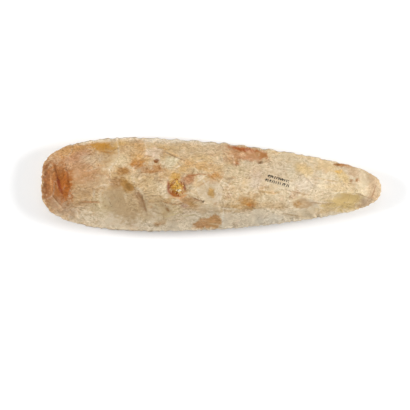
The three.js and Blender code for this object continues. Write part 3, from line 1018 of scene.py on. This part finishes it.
def thin_lines(nodes, place, size, seed, width, **habits):
    """Lines that wander like the shores of a noise's clouds."""
    return (nodes.noise(place, size, seed, **habits) - 0.5).size().ramp(width, 0.0)


def spots(nodes, place, apart, largest, seed, cloud_size, cloud_seed):
    """Small spots, one to a cell, where a cloud lies."""
    dots = nodes.cells(place, apart, seed).ramp(largest, 0.1)
    return dots * nodes.clouds(place, cloud_size, cloud_seed, 0.44, 0.56)


def stone_grain(nodes, place, blow):
    """Drifting strokes, wrinkles and creases, the ripples of the scar's own blow, and two kinds of spots."""
    drifting = drift(nodes, place, DRIFT_SIZE, seed=31, detail=2).scaled(DRIFT)
    x, y, z = nodes.split(place.vector("ADD", drifting))
    flowing = nodes.join(x * GRAIN_SQUEEZE, y, z)
    grain = nodes.noise(flowing, GRAIN_SIZE, 12, rough=0.7) - 0.5
    wrinkle = nodes.noise(flowing, WRINKLE_SIZE, 16, rough=0.65) - 0.5
    crease = thin_lines(nodes, flowing, CREASE_SIZE, 33, 0.05, detail=4, rough=0.6)
    away, along, _ = nodes.split(blow)
    wavering = away + nodes.noise(place, 9, 34) * GRAIN_WAVER
    ripple = (wavering * (math.tau / (RIPPLE_PITCH * MM))).sine() * along.ramp(0.1, 0.6)
    ripple = ripple * nodes.clouds(place, 16, 35, 0.42, 0.56)
    specks, flecks = spots(nodes, place, *SPECKS), spots(nodes, place, *FLECKS)
    return dict(grain=grain, wrinkle=wrinkle, crease=crease, ripple=ripple, specks=specks, flecks=flecks)


# %% The material
# Scars differ a little in tone, and their hollows are darker: partly dirt, partly painted shade
TONE, TEXTURE_TONE, HOLLOW_DIRT_AND_SHADE = 0.97, 0.08, 0.08
CRACK_STRENGTH, CRACK_COLOUR, CRACK_DEPTH = 0.6, "#8a5f3c", 0.5
CALM = 0.3  # what a calm scar shows of the grain that a rough one shows
CALMER, NARROW_HALF = 0.3, (50 * MM, 100 * MM)  # how much less the narrow half shows, and where it starts
# How much each kind of grain adds to the colour, partly the stone's own grain and specks and partly painted
# shade of its fine ripples and wrinkles, and how much to the relief
GRAIN_TONE_AND_PAINTED_SHADE = dict(grain=1.6, wrinkle=0.8, crease=-0.08, ripple=0.07, specks=-0.24, flecks=0.14)
HEIGHTS = dict(grain=1, wrinkle=1, crease=-0.3, ripple=0.3)
GRAIN_COLOURS = (0.88, 1.0, 1.25)  # how strongly the grain shows in red, green and blue


def blended(parts, shares):
    """The parts times their shares, added up."""
    return sum(parts[name] * share for name, share in shares.items())


def flint_material():
    material, nodes = new_material("patinated_flint")
    place = nodes.add("ShaderNodeTexCoord").out("Object")
    x, _, _ = nodes.split(place)
    blow = attribute(nodes, "hit", "Vector")
    _, _, texture = nodes.split(blow)
    patina = attribute(nodes, "patina", "Color")
    _, green, _ = nodes.split(patina)
    pale = green.ramp(0.05, 0.25)
    colour = clouded(nodes, place, patina, pale)
    tone = TONE + TEXTURE_TONE * texture - HOLLOW_DIRT_AND_SHADE * attribute(nodes, "hollow")
    colour = nodes.mix(1.0, colour, nodes.join(tone, tone, tone), blend="MULTIPLY")
    cracks = thin_lines(nodes, place, 9, 24, 0.012, detail=5, rough=0.6)
    cracks = cracks * nodes.clouds(place, 20, 25, 0.45, 0.6)
    colour = nodes.mix(cracks * CRACK_STRENGTH, colour, paint(CRACK_COLOUR))
    colour = edges_worn_and_highlit(nodes, place, colour, pale)

    uneven = texture + (nodes.noise(place, 12, 36) - 0.5) * 0.7
    rough = (CALM + (1 - CALM) * uneven.ramp(0.0, 0.45)) * (1 - CALMER * x.ramp(*NARROW_HALF))
    fine = stone_grain(nodes, place, blow)
    grain_tone_and_painted_shade = blended(fine, GRAIN_TONE_AND_PAINTED_SHADE) * rough
    grains = nodes.join(*[1 + share * grain_tone_and_painted_shade for share in GRAIN_COLOURS])
    colour = nodes.mix(1.0, colour, grains, blend="MULTIPLY")
    colour = nodes.mix(ink_mask(nodes, place) * INK_STRENGTH, colour, paint(INK_COLOUR))

    relief = blended(fine, HEIGHTS) * rough - CRACK_DEPTH * cracks
    bump = nodes.add("ShaderNodeBump", {"Height": relief, "Distance": 0.4 * MM, "Strength": 0.9})
    gloss = 0.62 + 0.2 * nodes.noise(place, 10, 13)
    finish_material(nodes, {
        "Base Color": colour, "Roughness": gloss, "Normal": bump, "Specular IOR Level": 0.17,
    })
    return material


flint = flint_material()

# %% Knap the stone and stain it
run_tree(stone, knapping_tree(), {
    "Scars": scar_points, "Ripple height": 0.16 * MM, "Ripple pitch": 2.4 * MM, "Grain height": 0.9 * MM,
    "Pit depth": 0.35 * MM, "Material": flint,
})
run_tree(stone, staining_tree(), {
    "Stains": stain_points, "Wander": 7 * MM, "Scar shift": 2 * MM, "Material": flint,
})
for points in (scar_points, stain_points):
    bpy.data.objects.remove(points)
print("stone:", len(stone.data.vertices), "points", len(stone.data.polygons), "faces")


# %% Faces outwards, and the stone in place of the plain solid
def settle(obj):
    """Turns every face outwards and counts the edges that don't join two faces."""
    shape = bmesh.new()
    shape.from_mesh(obj.data)
    bmesh.ops.recalc_face_normals(shape, faces=shape.faces)
    open_edges = sum(1 for edge in shape.edges if len(edge.link_faces) != 2)
    shape.to_mesh(obj.data)
    shape.free()
    print(obj.name, "open edges:", open_edges)


settle(stone)
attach(stone, "root")
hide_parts("knapped_stone")

# %% [markdown]
# ## The crystals in the vug
# A vug is a small hole that was in the flint before it was struck. Water left a lining of quartz in
# it, which iron coloured like honey. The lining follows the hole's own surface: the faces of the stone
# inside the hole are kept, points are scattered over them, and a six-sided crystal tip stands on each,
# nearly upright on the surface. They grow smaller towards the rim.

# %% The crystal tree
CRYSTAL_SPREAD = (0.4, 1.25)
LEAN = (1.0, 1.0, 3.0)
UNEVEN_RIM = 0.9


def crystal_tree():
    nodes, given = geometry_tree("Crystals", {
        "Middle x": "Float", "Middle y": "Float", "Half width": "Float", "Half height": "Float",
        "Per square metre": "Float", "Crystal width": "Float", "Crystal height": "Float", "Tilt": "Float",
        "Seed": "Int", "Material": "Material",
    })
    place = position(nodes)
    x, y, _ = nodes.split(place)
    across = (x - given["Middle x"]) / given["Half width"]
    upward = (y - given["Middle y"]) / given["Half height"]
    uneven = (nodes.noise(place, 4, 40) - 0.5) * UNEVEN_RIM
    away = (across * across + upward * upward) ** 0.5 + uneven
    inside = (away < 1) * (named(nodes, "face") > 0)
    measured = store(nodes, given["Geometry"], "rim", away)
    lining = nodes.add(
        "GeometryNodeSeparateGeometry", {"Geometry": measured, "Selection": inside}, domain="FACE")
    scatter = nodes.add("GeometryNodeDistributePointsOnFaces", {
        "Mesh": lining, "Density": given["Per square metre"], "Seed": given["Seed"]})
    tip = nodes.add("GeometryNodeMeshCone", {
        "Vertices": 6, "Radius Bottom": given["Crystal width"] * 0.5, "Depth": given["Crystal height"]})
    size = nodes.add("FunctionNodeRandomValue", {
        "Min": CRYSTAL_SPREAD[0], "Max": CRYSTAL_SPREAD[1], "Seed": given["Seed"]}, data_type="FLOAT")
    lean = nodes.add("FunctionNodeRandomValue", {
        "Min": tuple(-turn for turn in LEAN), "Max": LEAN, "Seed": given["Seed"]}, data_type=VECTOR)
    standing = nodes.add("GeometryNodeInstanceOnPoints", {
        "Points": scatter, "Instance": tip, "Rotation": scatter.out("Rotation"),
        "Scale": size * away.ramp(1.3, 0.5)})
    leaning = nodes.add("GeometryNodeRotateInstances", {
        "Instances": standing, "Rotation": lean.scaled(given["Tilt"])})
    return finish_tree(nodes, leaning, given["Material"])


# %% Honey-coloured quartz
# A painted highlight: a pale spot on the crystals where a larger crystal face catches the light, its middle,
# half length and half width
GLINT_X, GLINT_Y, GLINT_LENGTH, GLINT_WIDTH = -26.8 * MM, -4.6 * MM, 2.6 * MM, 1.2 * MM


def quartz_material():
    material, nodes = new_material("honey_quartz")
    place = nodes.add("ShaderNodeTexCoord").out("Object")
    growth = nodes.clouds(place, 2.5, 41, 0.5, 0.64)
    colour = nodes.mix(attribute(nodes, "rim").ramp(0.5, 0.95), paint("#f0c76a"), paint("#ae602a"))
    colour = nodes.mix(growth * 0.6, colour, paint("#f8e3ac"))
    x, y, _ = nodes.split(place)
    along, across = (x - GLINT_X) / GLINT_LENGTH, (y - GLINT_Y) / GLINT_WIDTH
    # the painted highlight
    colour = nodes.mix((along * along + across * across).ramp(1.0, 0.4), colour, paint("#fff6dd"))
    clouded = nodes.noise(place, 0.7, 42, detail=2)
    bump = nodes.add("ShaderNodeBump", {"Height": clouded, "Distance": 0.08 * MM, "Strength": 0.6})
    finish_material(nodes, {
        "Base Color": colour, "Roughness": 0.08 + 0.22 * clouded, "Normal": bump, "Specular IOR Level": 0.6})
    return material


# %% Line the vug
crystals = new_object("vug_crystals", stone.data.copy())
run_tree(crystals, crystal_tree(), {
    "Middle x": -28.3 * MM, "Middle y": -1.9 * MM, "Half width": 6.0 * MM, "Half height": 6.8 * MM,
    "Per square metre": 1.5e6, "Crystal width": 2.2 * MM, "Crystal height": 1.7 * MM, "Tilt": 0.22, "Seed": 5,
    "Material": quartz_material(),
})
print("crystals:", len(crystals.data.polygons), "faces")
settle(crystals)
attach(crystals, "root")

# %% [markdown]
# ## The studio
# The stone lies on a white ground and is seen from straight above. Two soft lights stand low at its two
# ends, so that the flakes show and the long sides cast hardly any shadow. A weaker light over the far
# side and a pale sky fill the rest.

# %% The ground and the lights
GROUND_SIZE = 4.0
WHITE = (0.93, 0.93, 0.93, 1)
SKY = 0.2


def soft_light(name, place, size, watts):
    """A square light that faces the stone."""
    light = bpy.data.lights.new(name, "AREA")
    light.size = size
    light.energy = watts
    obj = new_object(name, light)
    obj.location = place
    obj.rotation_euler = (-Vector(place)).to_track_quat("-Z", "Y").to_euler()


half = GROUND_SIZE / 2
corners = [(-half, -half, 0), (half, -half, 0), (half, half, 0), (-half, half, 0)]
floor_mesh = bpy.data.meshes.new("ground")
floor_mesh.from_pydata(corners, [], [(0, 1, 2, 3)])
paper, paper_nodes = new_material("white_paper")
finish_material(paper_nodes, {"Base Color": WHITE, "Roughness": 0.9})
floor_mesh.materials.append(paper)
floor = new_object("ground", floor_mesh)
soft_light("left_light", (-1.0, 0.06, 0.55), 0.45, 12.4)
soft_light("right_light", (1.0, 0.06, 0.55), 0.45, 13.8)
soft_light("top_light", (0, 0.4, 1.2), 0.8, 2.1)
world = bpy.data.worlds.new("studio")
bpy.context.scene.world = world
world.use_nodes = True
background = world.node_tree.nodes["Background"].inputs
background["Color"].default_value = (1, 1, 1, 1)
background["Strength"].default_value = SKY
bpy.context.scene.view_settings.view_transform = "Standard"

# %% The camera
PICTURE_WIDTH = 342.5 * MM
CAMERA_HEIGHT = 1.5
CAMERA_TURN = math.radians(1.15)
CAMERA_OFF_CENTRE = (-5.0 * MM, -16.2 * MM)
camera = new_object("camera", bpy.data.cameras.new("camera"))
camera.data.lens = camera.data.sensor_width * (CAMERA_HEIGHT - UNDER_DROP) / PICTURE_WIDTH
camera.location = (*CAMERA_OFF_CENTRE, CAMERA_HEIGHT)
camera.rotation_euler = (0, 0, CAMERA_TURN)
bpy.context.scene.camera = camera
